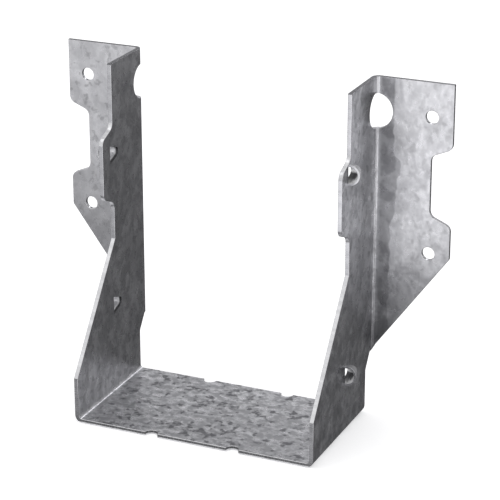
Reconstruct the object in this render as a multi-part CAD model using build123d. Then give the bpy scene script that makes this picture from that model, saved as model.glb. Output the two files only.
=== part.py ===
from build123d import *
import os
from math import pi, sqrt

# Joist hanger: one blank of galvanised steel sheet, folded into a U with two header flanges.
# X runs across the joist, Y towards the header, Z up. The origin is the middle of the
# underside, halfway between the front edge of the seat and the header face. Millimetres.

# Sheet and folds
sheet = 1.4
bend_radius = 1.1

# Joist pocket
clear_width = 80.2
depth = 50.8

# Side wall, from the underside up: upright nose, slanted edge, neck, ear and top
nose_height = 15.4
slant_rise = 38.4
neck_height = 13.9
ear_height = 22.55
top_height = 22.35
side_width = 22.6

# Back edge of the side wall, below the flange
seat_setback = 6.15
heel_height = 15.0
heel_radius = 1.5

# Flange
flange_width = 25.35
flange_tab = 12.35
foot_height = 22.1
foot_step = 2.0
shoulder_radius = 1.5

# Steps that the ear and the flange share, because neighbouring blanks are cut on one line
tab_step = 6.9
step_slope = 2.85
step_radius = 2.6

# Nail holes in the flanges, and half-round pilot notches in the edges of the seat
nail_hole_radius = 2.15
nail_column = 18.4
nail_inset = 11.2
pilot_radius = 2.15
pilot_offset = 14.1

# Round hole across each flange fold
fold_hole_radius = 5.75
fold_hole_inset = 11.1
neutral_share = 0.44

# Pressed hoods for the slanted nails, staggered so that the nails miss each other
hood_lead = 2.0
hood_radius = 2.65
hood_tip = 0.9
hood_length = 5.2
hood_lift = 0.4
hood_wall = 0.7
hood_draft = 12
right_hood_drop = 2.85
right_hood_height = 20.5
left_hood_drop = 7.35
left_hood_height = 31.0

# Lines that follow from the sizes above
inner_x = clear_width / 2
outer_x = inner_x + sheet
fold_x = outer_x + bend_radius
flange_x = outer_x + flange_width
front_y = -depth / 2
header_y = depth / 2
neck_y = header_y - side_width
mouth_y = neck_y - hood_lead
fold_y = header_y - sheet - bend_radius
ear_base = nose_height + slant_rise + neck_height
ear_top = ear_base + ear_height
height = ear_top + top_height
fold_lap = bend_radius / 2


def rounded_outline(corners):
    """Closed flat face through (a, b, radius) corners, each rounded by its radius."""
    face = make_face(Polyline(*[(a, b) for a, b, radius in corners], close=True))
    for a, b, radius in corners:
        if radius > 0:
            corner = face.vertices().sort_by_distance((a, b, 0))[0]
            face = fillet(corner, radius)
    return face


def step_corners(near, far, level):
    """The sloping step between a narrow and a wide stretch, high end at near."""
    return [
        (near, level + step_slope / 2, step_radius),
        (far, level - step_slope / 2, step_radius),
    ]


def side_outline():
    """Side wall seen along X: Y to the right, Z up."""
    ear_y = neck_y - tab_step
    heel_y = header_y - seat_setback
    corners = [
        (front_y, 0, 0),
        (front_y, nose_height, 0),
        (neck_y, nose_height + slant_rise, 0),
    ]
    corners += reversed(step_corners(ear_y, neck_y, ear_base))
    corners += reversed(step_corners(neck_y, ear_y, ear_top))
    corners += [
        (neck_y, height, 0),
        (fold_y, height, 0),
        (fold_y, foot_height - foot_step, 0),
        (heel_y, heel_height, heel_radius),
        (heel_y, 0, 0),
    ]
    return rounded_outline(corners)


def flange_outline():
    """Right flange and its fold seen along Y: X to the right, Z up."""
    waist_x = flange_x - tab_step
    corners = [
        (inner_x - 1, height, 0),
        (flange_x, height, 0),
    ]
    corners += step_corners(flange_x, waist_x, ear_top)
    corners += step_corners(waist_x, flange_x, ear_base)
    corners += [
        (flange_x, ear_base - flange_tab, shoulder_radius),
        (fold_x, foot_height, 0),
        (outer_x, foot_height - foot_step, 0),
        (inner_x - 1, foot_height - foot_step, 0),
    ]
    return rounded_outline(corners)


def channel():
    """Seat and both side walls, folded as a U and cut to the side outline."""
    outside = rounded_outline([
        (-outer_x, 0, bend_radius + sheet),
        (outer_x, 0, bend_radius + sheet),
        (outer_x, height, 0),
        (-outer_x, height, 0),
    ])
    inside = rounded_outline([
        (-inner_x, sheet, bend_radius),
        (inner_x, sheet, bend_radius),
        (inner_x, height + sheet, 0),
        (-inner_x, height + sheet, 0),
    ])
    run = extrude(Plane.XZ * (outside - inside), amount=depth, both=True)
    cutter = extrude(Plane.YZ * side_outline(), amount=outer_x + sheet, both=True)
    return run & cutter


def right_flange():
    """Flange plate and its fold, cut to the flange outline."""
    section = rounded_outline([
        (inner_x, fold_y - fold_lap, 0),
        (outer_x, fold_y - fold_lap, 0),
        (outer_x, header_y - sheet, bend_radius),
        (flange_x, header_y - sheet, 0),
        (flange_x, header_y, 0),
        (inner_x, header_y, bend_radius + sheet),
    ])
    run = extrude(section, amount=height)
    cutter = extrude(Plane.XZ * flange_outline(), amount=depth, both=True)
    return run & cutter


def round_cut(axis, centre, radius, length):
    """Cylinder of the given length, centred on a point and laid along an axis."""
    return Plane(origin=centre, z_dir=axis) * Cylinder(radius, length)


def block(low, high):
    """Box between two opposite corners."""
    size = [b - a for a, b in zip(low, high)]
    centre = [(a + b) / 2 for a, b in zip(low, high)]
    return Pos(*centre) * Box(*size)


def fold_hole():
    """Hole punched across the right flange fold in the flat, as it lies once folded."""
    half_arc = pi / 4 * (bend_radius + neutral_share * sheet)
    half_height = sqrt(fold_hole_radius ** 2 - half_arc ** 2)
    level = height - fold_hole_inset
    low = level - fold_hole_radius - sheet
    high = level + fold_hole_radius + sheet
    reach = fold_hole_radius + sheet
    in_side = round_cut((1, 0, 0), (outer_x, fold_y + half_arc, level), fold_hole_radius, 3 * sheet)
    in_side &= block((inner_x - reach, fold_y - reach, low), (fold_x, fold_y, high))
    in_flange = round_cut((0, 1, 0), (fold_x - half_arc, header_y, level), fold_hole_radius, 3 * sheet)
    in_flange &= block((fold_x, fold_y, low), (fold_x + reach, header_y + reach, high))
    in_fold = block((inner_x - sheet, fold_y, level - half_height),
                    (fold_x, header_y + sheet, level + half_height))
    return [in_side, in_flange, in_fold]


def nail_holes():
    """The two nail holes of the right flange."""
    levels = [height - nail_inset, ear_base - nail_inset]
    return [round_cut((0, 1, 0), (outer_x + nail_column, header_y, level), nail_hole_radius, 4 * sheet)
            for level in levels]


def pilot_notches():
    """Half-round notches in the front and back edges of the seat."""
    edges = [front_y, header_y - seat_setback]
    return [round_cut((0, 0, 1), (x, y, sheet / 2), pilot_radius, 4 * sheet)
            for y in edges
            for x in (-pilot_offset, pilot_offset)]


def hood_plan(radius, tip, length):
    """Outline of a hood or its hollow on the wall: mouth to the left, tip to the right."""
    return rounded_outline([(0, -radius, 0), (length, -tip, tip), (length, tip, tip), (0, radius, 0)])


def hood_form(radius, tip, length, root_x, level):
    """Short upright root with half a blunt cone on top, from root_x outwards."""
    crest_x = outer_x + hood_lift
    wall_plane = Plane.YZ.offset(root_x) * Pos(mouth_y, level)
    root = extrude(wall_plane * hood_plan(radius, tip, length), amount=crest_x - root_x)
    profile = rounded_outline([(0, 0, 0), (radius, 0, 0), (tip, length, tip), (0, length, 0)])
    cone = Pos(crest_x, mouth_y, level) * revolve(profile, Axis.Y)
    return root + (cone & block((crest_x, -depth, 0), (crest_x + depth, depth, height)))


def hood(level):
    """Hood on the outer face of the right side wall, open towards the front."""
    return hood_form(hood_radius + hood_wall, hood_tip + hood_wall, hood_length + hood_wall,
                     outer_x - sheet / 2, level)


def hood_pocket(level):
    """Hollow of the hood and the opening that it leaves through the side wall."""
    hollow = hood_form(hood_radius, hood_tip, hood_length, outer_x, level)
    wall_plane = Plane.YZ.offset(outer_x) * Pos(mouth_y, level)
    plan = hood_plan(hood_radius, hood_tip, hood_length)
    opening = extrude(wall_plane * plan, amount=-1.5 * sheet, taper=-hood_draft)
    return hollow + (opening & block((0, mouth_y, 0), (outer_x, header_y, height)))


def joist_hanger():
    """The whole folded sheet as one solid."""
    flange = right_flange()
    body = channel() + flange + mirror(flange, Plane.YZ)
    for cut in fold_hole() + nail_holes():
        body -= cut
        body -= mirror(cut, Plane.YZ)
    for cut in pilot_notches():
        body -= cut
    for level in (ear_top - right_hood_drop, right_hood_height):
        body += hood(level)
        body -= hood_pocket(level)
    for level in (ear_top - left_hood_drop, left_hood_height):
        body += mirror(hood(level), Plane.YZ)
        body -= mirror(hood_pocket(level), Plane.YZ)
    return body


os.makedirs("parts", exist_ok=True)
export_step(joist_hanger(), "parts/joist_hanger.step")
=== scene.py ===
from math import atan2, cos, pi, radians, sin

import bmesh
import bpy
from mathutils import Matrix, Vector


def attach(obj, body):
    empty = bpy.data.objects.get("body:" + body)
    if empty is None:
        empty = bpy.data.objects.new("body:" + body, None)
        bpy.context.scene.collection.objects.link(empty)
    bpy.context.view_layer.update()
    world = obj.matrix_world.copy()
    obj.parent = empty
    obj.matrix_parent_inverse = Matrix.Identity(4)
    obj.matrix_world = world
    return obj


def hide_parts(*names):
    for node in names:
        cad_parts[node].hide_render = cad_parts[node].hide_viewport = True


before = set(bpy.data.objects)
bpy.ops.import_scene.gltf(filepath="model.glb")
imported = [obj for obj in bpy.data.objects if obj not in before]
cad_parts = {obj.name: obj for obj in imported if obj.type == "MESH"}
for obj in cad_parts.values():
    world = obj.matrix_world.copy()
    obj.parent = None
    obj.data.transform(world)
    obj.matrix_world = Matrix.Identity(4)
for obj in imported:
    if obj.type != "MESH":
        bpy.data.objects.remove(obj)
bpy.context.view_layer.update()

# Sizes of the folded sheet, in metres, as in the construction
sheet = 0.0014
bend_radius = 0.0011
inner_x = 0.0401
outer_x = inner_x + sheet
header_y = 0.0254
fold_mid = bend_radius + sheet / 2
seat_fold_x = inner_x - bend_radius
seat_fold_z = sheet + bend_radius
flange_fold_x = outer_x + bend_radius
flange_fold_y = header_y - sheet - bend_radius
front_y = -0.0254
top_z = 0.1126
hood_mouth_y = 0.0008
hood_end_y = 0.0095
right_hoods = (0.0874, 0.0205)
left_hoods = (0.0829, 0.031)

# How far a hood and its opening reach above and below their middle
hood_reach = 0.0036
opening_reach = 0.003

# The same sheet as a flat blank: where the flange's fold ends across it, and where the strip ends
fold_end = flange_fold_y + pi / 2 * fold_mid
strip_end = seat_fold_x + pi / 2 * fold_mid + top_z - seat_fold_z

# Painted shade band beside the right flange's fold, and where its edge bulges out, along the blank
shade_bulge_along = 0.1232
shade_bulge = 0.0012
band_width_low = 0.0042
band_width_high = 0.0060
band_step = 0.0011
band_wander = 0.00035

# Rounding of the sheared edges, and the share of it that each kind of edge gets
edge_round = 0.0003
sheared_share = 0.5
mouth_share = 0.25
rim_share = 0.5

# Limits for cleaning the mesh and for telling its faces apart
edge_angle = radians(32)
flat_angle = radians(0.6)
merge_gap = 0.00005
snap_gap = 0.000012
hair = 0.00001
mouth_gap = 0.0001
facing_mouth = 0.9
facing_sheet = 0.8

# Third number of a corner's place on the blank: the side of the sheet, or a hood and its painted shade
outer_layer = 0.05
inner_layer = -0.05
pressed_layer = 0.15
shade_layer_span = 0.1

# Painted shade on the hoods: its faded part, and the heights over a hood's middle where it thins out
faded_shade = 0.42
fade_top = 0.002025
fade_span = 0.0045
pool_top = 0.00033
pool_span = 0.0022
pool_depth = 0.003

# Fineness of the patterns, in waves per metre, and the relief of the faces and of the cut edges
cloud_scale = 130.0
smear_scale = 270.0
blot_scale = 440.0
speck_scale = 430.0
grain_scale = 2200.0
ragged_scale = 260.0
band_noise_scale = 230.0
zinc_relief = 0.0002
score_relief = 0.00005

# Tones of the zinc and the steel
dull_zinc = (0.63, 0.63, 0.645, 1)
bright_zinc = (0.78, 0.78, 0.795, 1)
pressed_zinc = (0.9, 0.9, 0.91, 1)
blot_grey = (0.38, 0.38, 0.395, 1)
smear_grey = (0.36, 0.36, 0.375, 1)
speck_grey = (0.10, 0.10, 0.11, 1)
# Painted shade: the dark band beside the right flange's fold, also used for darker patches at the flange's
# lower tip
flange_painted_shade = (0.19, 0.19, 0.20, 1)
# Painted shade: the dark band on the right wall beside the flange's fold
wall_painted_shade = (0.24, 0.24, 0.25, 1)
# Painted shade: near-black inside the hoods and low on the walls of their openings
hollow_shade_black = (0.03, 0.03, 0.033, 1)
dull_steel = (0.52, 0.52, 0.535, 1)
bright_steel = (0.64, 0.64, 0.655, 1)
# Painted dark reflection on the top cut edges
top_edge_shade_steel = (0.12, 0.12, 0.13, 1)

# How fully each special tone covers the plain one
# Cover of the painted shade band on the right flange
flange_painted_shade_cover = 0.76
# Cover of the painted shade band on the right wall
wall_painted_shade_cover = 0.46
pressed_cover = 0.5
# Cover of the painted shade inside the hoods
hollow_shade_cover = 0.95
# Cover of the painted dark reflection on the top cut edges
top_edge_shade_cover = 0.85


# Node helpers

def add_node(tree, kind, inputs=None, **settings):
    """A node with its settings, and its inputs given as values or as sockets to link."""
    node = tree.nodes.new(kind)
    for name, value in settings.items():
        setattr(node, name, value)
    for name, value in (inputs or {}).items():
        socket = node.inputs[name]
        if isinstance(value, bpy.types.NodeSocket):
            tree.links.new(value, socket)
        else:
            socket.default_value = value
    return node


def maths(tree, operation, a, b=0.0):
    """Result of one sum of two numbers."""
    return add_node(tree, "ShaderNodeMath", {0: a, 1: b}, operation=operation).outputs[0]


def product(tree, a, b):
    """One number times another."""
    return maths(tree, "MULTIPLY", a, b)


def ramp_between(tree, value, low, high, out_low=0.0, out_high=1.0):
    """Smooth step of a value between two levels."""
    inputs = {"Value": value, "From Min": low, "From Max": high, "To Min": out_low, "To Max": out_high}
    node = add_node(tree, "ShaderNodeMapRange", inputs, interpolation_type="SMOOTHSTEP")
    return node.outputs["Result"]


def by_mask(tree, mask, without, within):
    """A level that goes from one value outside a mask to another inside it."""
    return ramp_between(tree, mask, 0.0, 1.0, without, within)


# The mix node's inputs go by number, because several of them share a name

def blend_colour(tree, factor, first, second):
    """One colour laid over another by a factor."""
    return add_node(tree, "ShaderNodeMix", {0: factor, 6: first, 7: second}, data_type="RGBA").outputs[2]


def blend_level(tree, factor, first, second):
    """One number laid over another by a factor."""
    return add_node(tree, "ShaderNodeMix", {0: factor, 2: first, 3: second}, data_type="FLOAT").outputs[0]


def stretched(tree, vector, scale, shift=(0, 0, 0)):
    """Coordinates scaled along and across the strip, and shifted."""
    inputs = {"Vector": vector, "Scale": scale, "Location": shift}
    return add_node(tree, "ShaderNodeMapping", inputs).outputs[0]


def noise(tree, vector, scale, detail=2.0, roughness=0.5, distortion=0.0):
    """Cloudy pattern from 0 to 1."""
    inputs = {"Vector": vector, "Scale": scale, "Detail": detail, "Roughness": roughness,
              "Distortion": distortion}
    return add_node(tree, "ShaderNodeTexNoise", inputs).outputs[0]


def group_on_blank(name, outputs):
    """Empty node group that takes a place on the flat blank and puts out named numbers."""
    tree = bpy.data.node_groups.new(name, "ShaderNodeTree")
    tree.interface.new_socket("Blank", in_out="INPUT", socket_type="NodeSocketVector")
    for label in outputs:
        tree.interface.new_socket(label, in_out="OUTPUT", socket_type="NodeSocketFloat")
    given = tree.nodes.new("NodeGroupInput")
    return tree, given.outputs["Blank"], tree.nodes.new("NodeGroupOutput")


# Zinc coating

def zinc_patches():
    """Mottled zinc: wide clouds, smears, small blots, dark specks and fine grain."""
    tree, blank, result = group_on_blank("zinc_patches", ["Clouds", "Smears", "Blots", "Specks", "Grain"])
    rolled = stretched(tree, blank, (0.8, 1.0, 1.0))
    spots = noise(tree, stretched(tree, rolled, (1.2, 1, 1), (0, 4.7, 0)), speck_scale, 2.0, 0.5, 0.3)
    patches = {
        "Clouds": noise(tree, rolled, cloud_scale, 2.0, 0.5, 0.6),
        "Smears": noise(tree, stretched(tree, rolled, (1, 1, 1), (0, 0, 5.3)), smear_scale, 2.0, 0.5, 0.4),
        "Blots": noise(tree, stretched(tree, rolled, (1, 1, 1), (3.1, 0, 0)), blot_scale, 3.0, 0.55, 0.2),
        "Specks": ramp_between(tree, spots, 0.53, 0.68),
        "Grain": noise(tree, blank, grain_scale, 2.0, 0.6),
    }
    for label, value in patches.items():
        tree.links.new(value, result.inputs[label])
    return tree


def flange_shade_band_mask(tree, blank, along, past_fold):
    """Painted shade band on the right flange beside its fold, with a bulge in its edge, and darker patches at
    the lower tip.
    """
    ragged = noise(tree, stretched(tree, blank, (1.0, 0.3, 1.0)), ragged_scale)
    off_bulge = maths(tree, "ABSOLUTE", maths(tree, "SUBTRACT", along, shade_bulge_along))
    bulge = ramp_between(tree, off_bulge, 0.0018, 0.0045, shade_bulge, 0.0)
    limit = maths(tree, "ADD", bulge,
                  ramp_between(tree, along, 0.103, 0.108, band_width_low, band_width_high))
    limit = maths(tree, "SUBTRACT", limit,
                  ramp_between(tree, along, shade_bulge_along + 0.001, shade_bulge_along + 0.005, 0.0, band_step))
    limit = maths(tree, "ADD", limit, ramp_between(tree, ragged, 0.3, 0.7, -band_wander, band_wander))
    beyond = maths(tree, "SUBTRACT", past_fold, limit)
    band = product(tree, ramp_between(tree, beyond, 0.0003, -0.0003),
                   ramp_between(tree, past_fold, -0.0004, 0.0012))
    band_noise = noise(tree, blank, band_noise_scale)
    band_breakup = ramp_between(tree, band_noise, 0.42, 0.60, 0.60, 1.0)
    tip = product(tree, ramp_between(tree, along, 0.086, 0.072), ramp_between(tree, past_fold, 0.014, 0.004))
    tip = product(tree, tip, ramp_between(tree, band_noise, 0.36, 0.60, 0.15, 0.75))
    return maths(tree, "MAXIMUM", product(tree, band, band_breakup), tip)


def wall_shade_band_mask(tree, along, across):
    """Painted shade band on the right wall beside the flange's fold, strongest near the top."""
    band = product(tree, ramp_between(tree, across, flange_fold_y - 0.013, flange_fold_y - 0.004),
                   ramp_between(tree, across, flange_fold_y, flange_fold_y - 0.002))
    return product(tree, band, ramp_between(tree, along, 0.088, 0.104, 0.35, 1.0))


def sheet_zones():
    """Masks of the places on the sheet whose finish differs, and of the painted shade."""
    tree, blank, result = group_on_blank("sheet_zones", [
        "Flange Shade Band", "Wall Shade Band", "Seat", "Even Flange", "Upper Right Flange", "Fold", "Pressed", "Hollow Shade"])
    along, across, layer = add_node(tree, "ShaderNodeSeparateXYZ", {0: blank}).outputs
    past_fold = maths(tree, "SUBTRACT", across, fold_end)
    outside = product(tree, ramp_between(tree, layer, -0.01, 0.01), ramp_between(tree, along, 0.0, 0.01))
    flange = ramp_between(tree, past_fold, -0.002, 0.0)
    low_right = product(tree, ramp_between(tree, along, -0.01, 0.01), ramp_between(tree, along, 0.107, 0.078))
    off_middle = maths(tree, "ABSOLUTE", along)
    zones = {
        "Flange Shade Band": product(tree, flange_shade_band_mask(tree, blank, along, past_fold), outside),
        "Wall Shade Band": product(tree, wall_shade_band_mask(tree, along, across), outside),
        "Seat": ramp_between(tree, off_middle, seat_fold_x, seat_fold_x - 0.002),
        "Even Flange": maths(tree, "SUBTRACT", flange, product(tree, low_right, flange)),
        "Upper Right Flange": product(tree, flange, ramp_between(tree, along, 0.070, 0.105)),
        "Fold": product(tree, ramp_between(tree, across, flange_fold_y - 0.0008, flange_fold_y),
                        ramp_between(tree, past_fold, 0.0008, 0.0)),
        "Pressed": ramp_between(tree, layer, pressed_layer - 0.06, pressed_layer - 0.04),
        "Hollow Shade": ramp_between(tree, layer, pressed_layer + 0.28 * shade_layer_span, pressed_layer + 0.60 * shade_layer_span),
    }
    for label, value in zones.items():
        tree.links.new(value, result.inputs[label])
    return tree


def place_on_sheet(tree):
    """The face's place on the flat blank."""
    return add_node(tree, "ShaderNodeAttribute", attribute_name="blank").outputs["Vector"]


def group_outputs(tree, group):
    """A node group laid out on the flat blank, by the names of its outputs."""
    node = add_node(tree, "ShaderNodeGroup", node_tree=group)
    tree.links.new(place_on_sheet(tree), node.inputs["Blank"])
    return node.outputs


def metal(name):
    """Material with one metal shader, and the shader's node."""
    material = bpy.data.materials.new(name)
    material.use_nodes = True
    shader = material.node_tree.nodes["Principled BSDF"]
    shader.inputs["Metallic"].default_value = 1.0
    return material, material.node_tree, shader


def galvanised_face(zinc_group, zone_group):
    """Rolled and galvanised face of the sheet, with painted shade in bands and inside the hoods."""
    material, tree, shader = metal("galvanised_face")
    zinc = group_outputs(tree, zinc_group)
    zone = group_outputs(tree, zone_group)
    clouds, blots, specks, seat = zinc["Clouds"], zinc["Blots"], zinc["Specks"], zone["Seat"]
    mottle = product(tree, ramp_between(tree, blots, 0.40, 0.60), by_mask(tree, seat, 0.22, 0.85))
    smeared = product(tree, ramp_between(tree, zinc["Smears"], 0.40, 0.62), by_mask(tree, seat, 0.55, 0.25))
    smeared = product(tree, smeared, by_mask(tree, zone["Even Flange"], 1.0, 0.25))
    specked = product(tree, specks, by_mask(tree, seat, 0.34, 0.78))
    specked = product(tree, specked, by_mask(tree, zone["Upper Right Flange"], 1.0, 0.35))
    colour = blend_colour(tree, ramp_between(tree, clouds, 0.35, 0.65), dull_zinc, bright_zinc)
    colour = blend_colour(tree, mottle, colour, blot_grey)
    colour = blend_colour(tree, smeared, colour, smear_grey)
    colour = blend_colour(tree, specked, colour, speck_grey)
    # Painted shade: dark band on the right flange beside its fold
    colour = blend_colour(tree, product(tree, zone["Flange Shade Band"], flange_painted_shade_cover), colour, flange_painted_shade)
    # Painted shade: dark band on the right wall beside the flange's fold
    colour = blend_colour(tree, product(tree, zone["Wall Shade Band"], wall_painted_shade_cover), colour, wall_painted_shade)
    colour = blend_colour(tree, product(tree, zone["Pressed"], pressed_cover), colour, pressed_zinc)
    # Painted shade: dark inside the hoods and low on their openings' walls
    colour = blend_colour(tree, product(tree, zone["Hollow Shade"], hollow_shade_cover), colour, hollow_shade_black)
    tree.links.new(colour, shader.inputs["Base Color"])
    rough = maths(tree, "ADD", ramp_between(tree, blots, 0.35, 0.65, 0.27, 0.35), product(tree, specks, 0.10))
    rough = maths(tree, "ADD", rough, product(tree, zone["Pressed"], 0.10))
    tree.links.new(rough, shader.inputs["Roughness"])
    ripple = product(tree, blots, by_mask(tree, seat, 0.16, 0.50))
    height = maths(tree, "ADD", product(tree, clouds, 0.8), ripple)
    height = maths(tree, "ADD", height, product(tree, zinc["Grain"], 0.004))
    height = maths(tree, "SUBTRACT", height, product(tree, specks, 0.02))
    relief = {"Height": height, "Strength": by_mask(tree, zone["Fold"], 1.0, 0.25), "Distance": zinc_relief}
    bump = add_node(tree, "ShaderNodeBump", relief)
    tree.links.new(bump.outputs[0], shader.inputs["Normal"])
    return material


def sheared_edge(zinc_group):
    """Cut edge of the sheet: bare, finely scored steel, with a painted dark reflection on the top edges where
    the strip ends.
    """
    material, tree, shader = metal("sheared_edge")
    zinc = group_outputs(tree, zinc_group)
    along = add_node(tree, "ShaderNodeSeparateXYZ", {0: place_on_sheet(tree)}).outputs[0]
    top_edge_shade = ramp_between(tree, maths(tree, "ABSOLUTE", along), strip_end - 0.0005, strip_end - 0.0002)
    colour = blend_colour(tree, ramp_between(tree, zinc["Blots"], 0.35, 0.65), dull_steel, bright_steel)
    # Painted dark reflection on the top cut edges, where the strip ends
    colour = blend_colour(tree, product(tree, top_edge_shade, top_edge_shade_cover), colour, top_edge_shade_steel)
    tree.links.new(colour, shader.inputs["Base Color"])
    rough = ramp_between(tree, zinc["Grain"], 0.3, 0.7, 0.20, 0.30)
    tree.links.new(rough, shader.inputs["Roughness"])
    scores = {"Height": zinc["Grain"], "Strength": 0.12, "Distance": score_relief}
    bump = add_node(tree, "ShaderNodeBump", scores)
    tree.links.new(bump.outputs[0], shader.inputs["Normal"])
    return material


# The folded sheet

def place_on_blank(point):
    """Where a point of the folded sheet lies on the flat blank: along the strip, and across it."""
    across_x = abs(point.x)
    side = 1 if point.x >= 0 else -1
    along = across_x
    if across_x > seat_fold_x:
        turn = pi / 2
        if point.z < seat_fold_z:
            turn = atan2(across_x - seat_fold_x, seat_fold_z - point.z)
        along = seat_fold_x + turn * fold_mid + max(0.0, point.z - seat_fold_z)
    across = point.y
    if point.y > flange_fold_y - sheet and (point.y > flange_fold_y or across_x > flange_fold_x):
        turn = pi / 2
        if across_x < flange_fold_x:
            turn = atan2(point.y - flange_fold_y, flange_fold_x - across_x)
        across = flange_fold_y + turn * fold_mid + max(0.0, across_x - flange_fold_x)
    return side * along, across


def sheet_normal(point):
    """Direction through the sheet's thickness, towards the side that is the outside of the U."""
    across_x = abs(point.x)
    side = 1 if point.x >= 0 else -1
    if point.y > flange_fold_y and across_x > inner_x:
        if across_x > flange_fold_x:
            return Vector((0, -1, 0))
        return Vector((side * (flange_fold_x - across_x), flange_fold_y - point.y, 0)).normalized()
    if across_x < seat_fold_x:
        return Vector((0, 0, -1))
    if point.z > seat_fold_z:
        return Vector((side, 0, 0))
    return Vector((side * (across_x - seat_fold_x), 0, point.z - seat_fold_z)).normalized()


def above_hood(point):
    """Height of a point over the middle of the nearest hood on its side."""
    levels = right_hoods if point.x > 0 else left_hoods
    return point.z - min(levels, key=lambda level: abs(level - point.z))


def is_pressed(centre):
    """True on the hoods and on the walls of their openings."""
    out = abs(centre.x)
    reach = hood_reach if out > outer_x else opening_reach
    off_wall = out > outer_x + hair or inner_x + hair < out < outer_x - hair
    beside = hood_mouth_y - mouth_gap < centre.y < hood_end_y
    return off_wall and beside and abs(above_hood(centre)) < reach


def in_right_hollow(centre, normal):
    """True on the inner side of a right hood and its opening."""
    away = Vector((centre.x - outer_x, 0, above_hood(centre)))
    return centre.x > 0 and is_pressed(centre) and (centre.x < outer_x or away.dot(normal) < 0)


def is_cut(centre, normal):
    """True on the sheared edges, the walls of the holes and the mouths of the hoods."""
    if is_pressed(centre):
        return abs(normal.y) > facing_mouth and centre.y < hood_mouth_y + mouth_gap
    return abs(normal.dot(sheet_normal(centre))) < facing_sheet


def share_of(length, whole):
    """A length as a share of a whole, from 0 to 1."""
    return min(1.0, max(0.0, length / whole))


def hollow_shade_share(point, in_hollow):
    """Share of painted shade on a hood: it pools low in the right hollows and stays on the torn low rims."""
    above = above_hood(point)
    fading = share_of(fade_top - above, fade_span)
    if in_hollow:
        pooled = share_of(pool_top - above, pool_span) * share_of(point.y - hood_mouth_y, pool_depth)
        return max(faded_shade * fading, pooled)
    return share_of(outer_x - abs(point.x), sheet) if fading > 0 else 0.0


def rounding(edge):
    """Share of the full rounding that an edge of the sheet gets: none between two cuts."""
    if edge.calc_face_angle() < edge_angle:
        return 0.0
    centres = [face.calc_center_median() for face in edge.link_faces]
    pressed = [is_pressed(centre) for centre in centres]
    cut = [is_cut(centre, face.normal) for centre, face in zip(centres, edge.link_faces)]
    middle = (edge.verts[0].co + edge.verts[1].co) / 2
    if any(pressed) and cut[0] != cut[1] and abs(middle.x) > outer_x:
        return mouth_share
    if any(pressed) and not any(cut) and abs(middle.x) < inner_x + hair:
        return rim_share
    if cut[0] != cut[1] and not any(pressed):
        return sheared_share
    return 0.0


def merged_copy(node):
    """The sheet's surface as one closed mesh with whole faces, and the rounding of its edges."""
    work = bmesh.new()
    work.from_mesh(node.data)
    bmesh.ops.remove_doubles(work, verts=work.verts, dist=merge_gap)
    bmesh.ops.dissolve_limit(work, angle_limit=flat_angle, verts=work.verts, edges=work.edges)
    bmesh.ops.recalc_face_normals(work, faces=work.faces)
    share = work.edges.layers.float.new("bevel_weight_edge")
    for edge in work.edges:
        edge[share] = rounding(edge)
        edge.smooth = True
    for face in work.faces:
        face.smooth = True
    mesh = bpy.data.meshes.new("folded_sheet")
    work.to_mesh(mesh)
    work.free()
    return mesh


def applied(piece):
    """The piece's mesh with its modifiers applied."""
    graph = bpy.context.evaluated_depsgraph_get()
    mesh = bpy.data.meshes.new_from_object(piece.evaluated_get(graph))
    piece.modifiers.clear()
    return mesh


def creased(mesh):
    """The mesh with stray points put back on the sheet's flat faces, and its corners marked sharp."""
    levels = (
        (-outer_x, -inner_x, inner_x, outer_x),
        (front_y, header_y - sheet, header_y),
        (0.0, sheet, top_z),
    )
    work = bmesh.new()
    work.from_mesh(mesh)
    for vertex in work.verts:
        for axis, places in enumerate(levels):
            for place in places:
                if abs(vertex.co[axis] - place) < snap_gap:
                    vertex.co[axis] = place
    work.normal_update()
    for edge in work.edges:
        edge.smooth = edge.calc_face_angle(0.0) < edge_angle
    work.to_mesh(mesh)
    work.free()
    return mesh


def paint_places(mesh):
    """Each face's material, and each corner's place on the flat blank."""
    blank = mesh.attributes.new("blank", "FLOAT_VECTOR", "CORNER")
    for polygon in mesh.polygons:
        polygon.material_index = 1 if is_cut(polygon.center, polygon.normal) else 0
        outwards = polygon.normal.dot(sheet_normal(polygon.center)) > 0
        pressed = is_pressed(polygon.center)
        in_hollow = in_right_hollow(polygon.center, polygon.normal)
        for corner in polygon.loop_indices:
            point = mesh.vertices[mesh.loops[corner].vertex_index].co
            layer = outer_layer if outwards else inner_layer
            if pressed:
                # The third number carries the share of painted shade on the hoods
                layer = pressed_layer + shade_layer_span * hollow_shade_share(point, in_hollow)
            blank.data[corner].vector = (*place_on_blank(point), layer)


def folded_sheet(node, face, edge):
    """The hanger with its sheared edges lightly rounded, and its place on the flat blank."""
    piece = bpy.data.objects.new("folded_sheet", merged_copy(node))
    bpy.context.scene.collection.objects.link(piece)
    bevel = piece.modifiers.new("edge", "BEVEL")
    bevel.width = edge_round
    bevel.segments = 3
    bevel.limit_method = "WEIGHT"
    bevel.use_clamp_overlap = False
    bevel.loop_slide = False
    piece.data = creased(applied(piece))
    weighted = piece.modifiers.new("normals", "WEIGHTED_NORMAL")
    weighted.weight = 90
    weighted.keep_sharp = True
    piece.data = applied(piece)
    piece.data.materials.clear()
    piece.data.materials.append(face)
    piece.data.materials.append(edge)
    paint_places(piece.data)
    return piece


zinc = zinc_patches()
face_metal = galvanised_face(zinc, sheet_zones())
hanger = folded_sheet(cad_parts["joist_hanger"], face_metal, sheared_edge(zinc))
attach(hanger, "root")
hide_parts("joist_hanger")


# Table and cards

table_glow = 0.40
table_grey = (0.9, 0.9, 0.9, 1)
room_grey = (0.78, 0.78, 0.79, 1)
white = (1, 1, 1, 1)


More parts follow.
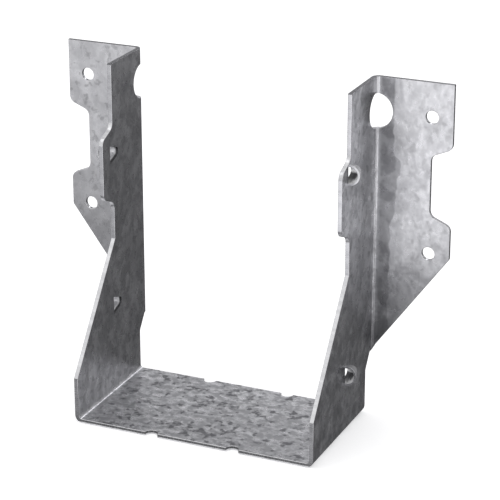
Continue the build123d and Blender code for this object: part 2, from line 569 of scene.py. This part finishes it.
def flat_panel(name, corners, material):
    """Flat four-cornered stage panel."""
    mesh = bpy.data.meshes.new(name)
    mesh.from_pydata(corners, [], [(0, 1, 2, 3)])
    panel = bpy.data.objects.new(name, mesh)
    bpy.context.scene.collection.objects.link(panel)
    mesh.materials.append(material)
    return panel


def level_square(reach, level):
    """Corners of a level square round the hanger."""
    return [(-reach, -reach, level), (reach, -reach, level), (reach, reach, level), (-reach, reach, level)]


def upright_square(reach, back, height):
    """Corners of an upright panel that stands on the table across the back."""
    return [(-reach, back, 0), (reach, back, 0), (reach, back, height), (-reach, back, height)]


def empty_material(name):
    """Material without a shader, and its nodes."""
    material = bpy.data.materials.new(name)
    material.use_nodes = True
    material.node_tree.nodes.clear()
    return material, material.node_tree


def seen_straight(tree):
    """1 where a ray comes from the camera, from a gloss or through something clear."""
    rays = add_node(tree, "ShaderNodeLightPath")
    seen = maths(tree, "MAXIMUM", rays.outputs["Is Camera Ray"], rays.outputs["Is Glossy Ray"])
    return maths(tree, "MAXIMUM", seen, rays.outputs["Is Transmission Ray"])


def table_material():
    """Pale table that stays white behind the object and keeps its shadow."""
    material, tree = empty_material("pale_table")
    glow = add_node(tree, "ShaderNodeEmission", {"Strength": product(tree, seen_straight(tree), table_glow)})
    matt = add_node(tree, "ShaderNodeBsdfDiffuse", {"Color": table_grey})
    both = add_node(tree, "ShaderNodeAddShader", {0: glow.outputs[0], 1: matt.outputs[0]})
    add_node(tree, "ShaderNodeOutputMaterial", {"Surface": both.outputs[0]})
    return material


def reflected_card(name, corners, tone_of):
    """Card that only shows in the metal's reflections, as one outside a photographer's frame does."""
    material, tree = empty_material(name)
    place = add_node(tree, "ShaderNodeTexCoord").outputs["Object"]
    tone = tone_of(tree, add_node(tree, "ShaderNodeSeparateXYZ", {0: place}).outputs)
    cool = add_node(tree, "ShaderNodeCombineColor", {0: tone, 1: tone, 2: product(tree, tone, 1.03)})
    glow = add_node(tree, "ShaderNodeEmission", {"Color": cool.outputs[0], "Strength": 1.0})
    add_node(tree, "ShaderNodeOutputMaterial", {"Surface": glow.outputs[0]})
    card = flat_panel(name, corners, material)
    card.visible_camera = False
    card.visible_diffuse = False
    card.visible_shadow = False
    card.visible_transmission = False


# Foot of the right wall's fold, the way the mat's tones change past it, and the pale patch's bearing
corner_x = 0.0415
corner_y = 0.024
corner_turn = (0.94, 0.342)
side_bearing = radians(-24)

# Tones of the pale and bright patches on the cards
left_patch_tone = 0.8
right_patch_tone = 1.1
back_patch_tone = 2.8


def front_tone(tree, x, y, from_corner_x, from_corner_y):
    """Grey of the mat in front of the hanger: dark close by, paler further off, darker past the corner."""
    tone = ramp_between(tree, y, -0.067, -0.178, 0.34, 1.34)
    tone = product(tree, tone, ramp_between(tree, x, -0.105, -0.055, 0.51, 1.0))
    offset = maths(tree, "ADD", product(tree, from_corner_x, corner_turn[0]),
                   product(tree, from_corner_y, corner_turn[1]))
    tone = product(tree, tone, ramp_between(tree, offset, -0.07, -0.012, 1.0, 1.35))
    return product(tree, tone, ramp_between(tree, offset, -0.010, 0.012, 1.0, 0.42))


def behind_tone(tree, x, y):
    """Grey of the mat behind the hanger: dark, a little paler by the right wall, pale by the left."""
    tone = ramp_between(tree, y, 0.40, 0.60, 0.122, 0.40)
    by_right = product(tree, ramp_between(tree, x, 0.03, 0.05), ramp_between(tree, y, 0.18, 0.08))
    tone = product(tree, tone, by_mask(tree, by_right, 1.0, 1.4))
    by_left = product(tree, ramp_between(tree, x, -0.050, -0.065), ramp_between(tree, y, 0.09, 0.06))
    return blend_level(tree, by_left, tone, left_patch_tone)


def mat_tone(tree, place):
    """Grey of the mat round the hanger, with a pale patch off to its right."""
    x, y = place["X"], place["Y"]
    from_corner_x = maths(tree, "SUBTRACT", x, corner_x)
    from_corner_y = maths(tree, "SUBTRACT", y, corner_y)
    in_front = ramp_between(tree, y, -0.022, -0.034)
    tone = blend_level(tree, in_front, behind_tone(tree, x, y),
                       front_tone(tree, x, y, from_corner_x, from_corner_y))
    bearing = maths(tree, "ARCTAN2", from_corner_y, from_corner_x)
    off_side = maths(tree, "ABSOLUTE", maths(tree, "SUBTRACT", bearing, side_bearing))
    to_right = product(tree, ramp_between(tree, off_side, 0.10, 0.30, 1.0, 0.0),
                       ramp_between(tree, x, 0.08, 0.12))
    return blend_level(tree, to_right, tone, right_patch_tone)


def back_tone(tree, place):
    """Grey of the card at the back: grey low down, pale halfway up, dark above, and one bright patch."""
    x, z = place["X"], place["Z"]
    pale = ramp_between(tree, z, 0.09, 0.22, 0.35, 1.10)
    pale = product(tree, pale, ramp_between(tree, z, 0.215, 0.255, 1.0, 0.15))
    pale = product(tree, pale, ramp_between(tree, x, -0.10, 0.02, 1.0, 0.85))
    bright = product(tree, ramp_between(tree, x, -0.10, -0.03), ramp_between(tree, x, 0.095, 0.045))
    bright = product(tree, bright, ramp_between(tree, z, 0.24, 0.29))
    return blend_level(tree, bright, pale, back_patch_tone)


table_reach = 6.0
mat_reach = 0.6
mat_level = 0.0005
back_y = 0.42
back_reach = 0.45
back_height = 0.55

flat_panel("table", level_square(table_reach, 0), table_material())
reflected_card("table_mat", level_square(mat_reach, mat_level), mat_tone)
reflected_card("back_card", upright_square(back_reach, back_y, back_height), back_tone)


# Light

lamp_aim = Vector((0, 0, 0.05))


def softbox(name, place, width, height, power):
    """Large soft lamp turned towards the hanger."""
    lamp = bpy.data.lights.new(name, "AREA")
    lamp.shape = "RECTANGLE"
    lamp.size = width
    lamp.size_y = height
    lamp.energy = power
    box = bpy.data.objects.new(name, lamp)
    bpy.context.scene.collection.objects.link(box)
    away = Vector(place) - lamp_aim
    box.matrix_world = Matrix.Translation(place) @ away.to_track_quat("Z", "Y").to_matrix().to_4x4()


softbox("front_softbox", place=(-0.55, -0.95, 1.05), width=1.6, height=1.3, power=1.2)
softbox("high_softbox", place=(-0.5, -0.25, 1.2), width=0.9, height=0.6, power=1.2)
softbox("top_softbox", place=(0.1, 0.3, 1.5), width=1.2, height=1.2, power=1.6)


def studio_world():
    """Pale room that shows as white behind the object and in its gloss."""
    world = bpy.data.worlds.new("studio")
    world.use_nodes = True
    tree = world.node_tree
    tree.nodes.clear()
    room = add_node(tree, "ShaderNodeBackground", {"Color": room_grey, "Strength": 1.0})
    backdrop = add_node(tree, "ShaderNodeBackground", {"Color": white, "Strength": 1.0})
    shown = {0: seen_straight(tree), 1: room.outputs[0], 2: backdrop.outputs[0]}
    both = add_node(tree, "ShaderNodeMixShader", shown)
    add_node(tree, "ShaderNodeOutputWorld", {"Surface": both.outputs[0]})
    return world


bpy.context.scene.world = studio_world()


# Camera

camera_place = Vector((0.2565407, -0.5596443, 0.2925069))
camera_yaw = radians(23.85058)
camera_pitch = radians(-20.93853)
camera_roll = -0.001
camera_lens = 149.92
camera_sensor = 36.0

level_forward = Vector((-sin(camera_yaw), cos(camera_yaw), 0))
level_right = Vector((cos(camera_yaw), sin(camera_yaw), 0))
forward = level_forward * cos(camera_pitch) + Vector((0, 0, sin(camera_pitch)))
level_up = level_right.cross(forward)
right = level_right * cos(camera_roll) + level_up * sin(camera_roll)
up = level_up * cos(camera_roll) - level_right * sin(camera_roll)

lens = bpy.data.cameras.new("camera")
lens.lens = camera_lens
lens.sensor_width = camera_sensor
lens.clip_start = 0.01
lens.clip_end = 50.0
camera = bpy.data.objects.new("camera", lens)
bpy.context.scene.collection.objects.link(camera)
turn = Matrix((right, up, -forward)).transposed().to_4x4()
camera.matrix_world = Matrix.Translation(camera_place) @ turn
bpy.context.scene.camera = camera

bpy.context.scene.view_settings.view_transform = "Standard"
